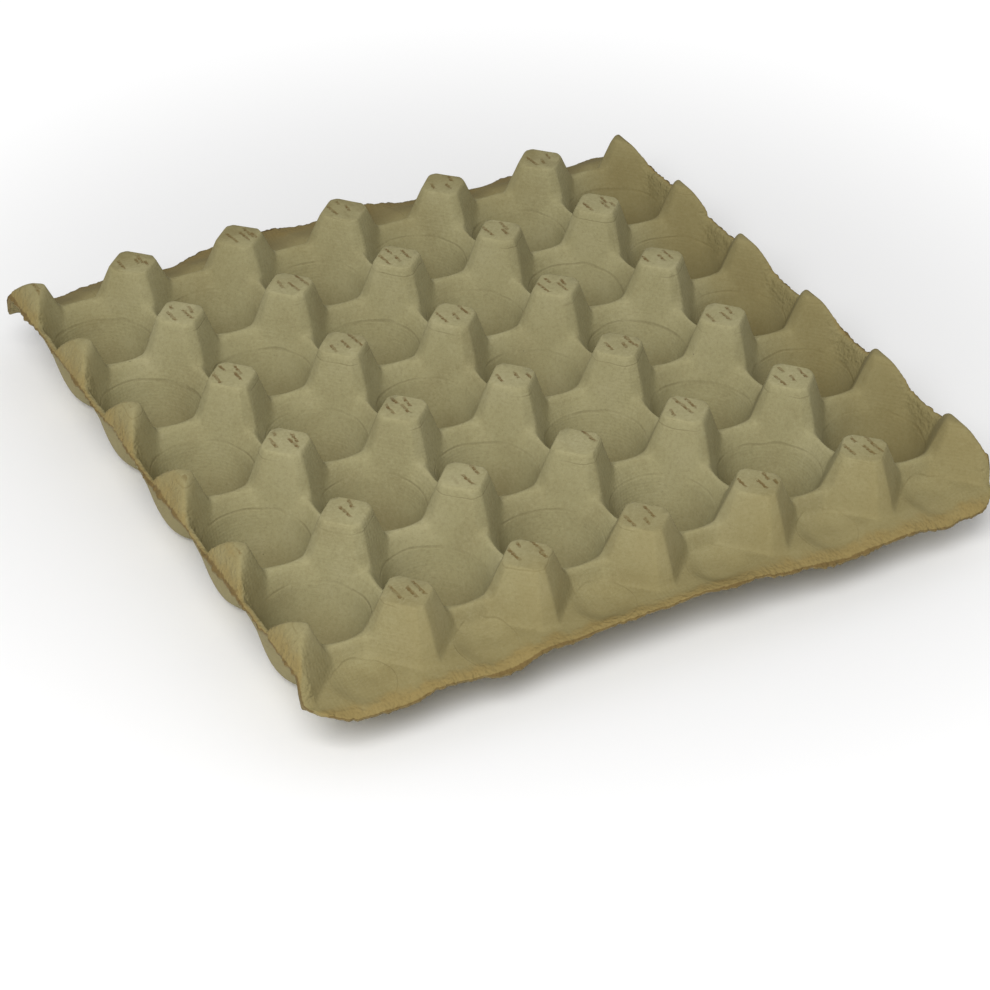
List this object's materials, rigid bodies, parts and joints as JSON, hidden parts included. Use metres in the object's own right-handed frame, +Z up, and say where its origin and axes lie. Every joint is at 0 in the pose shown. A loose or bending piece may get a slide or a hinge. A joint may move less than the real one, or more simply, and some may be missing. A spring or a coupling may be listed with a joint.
{
  "type": "egg tray",
  "caption": "Square tray of moulded paper pulp: a grid of round egg cups between hollow posts, open above, that stands on the feet of its cups and nests in a stack.",
  "frame": {"origin": "under the middle of the tray, on the surface that it stands on", "axes": "+Z up, out of the cups; X along the longer row of cells, Y along the shorter row, towards the end flanges"},
  "size_m": [0.2872, 0.3, 0.047],
  "materials": {
    "pulp": "matt, fibrous, greyish khaki moulded pulp"
  },
  "bodies": {
    "root": {"egg_tray": "pulp"}
  },
  "joints": []
}
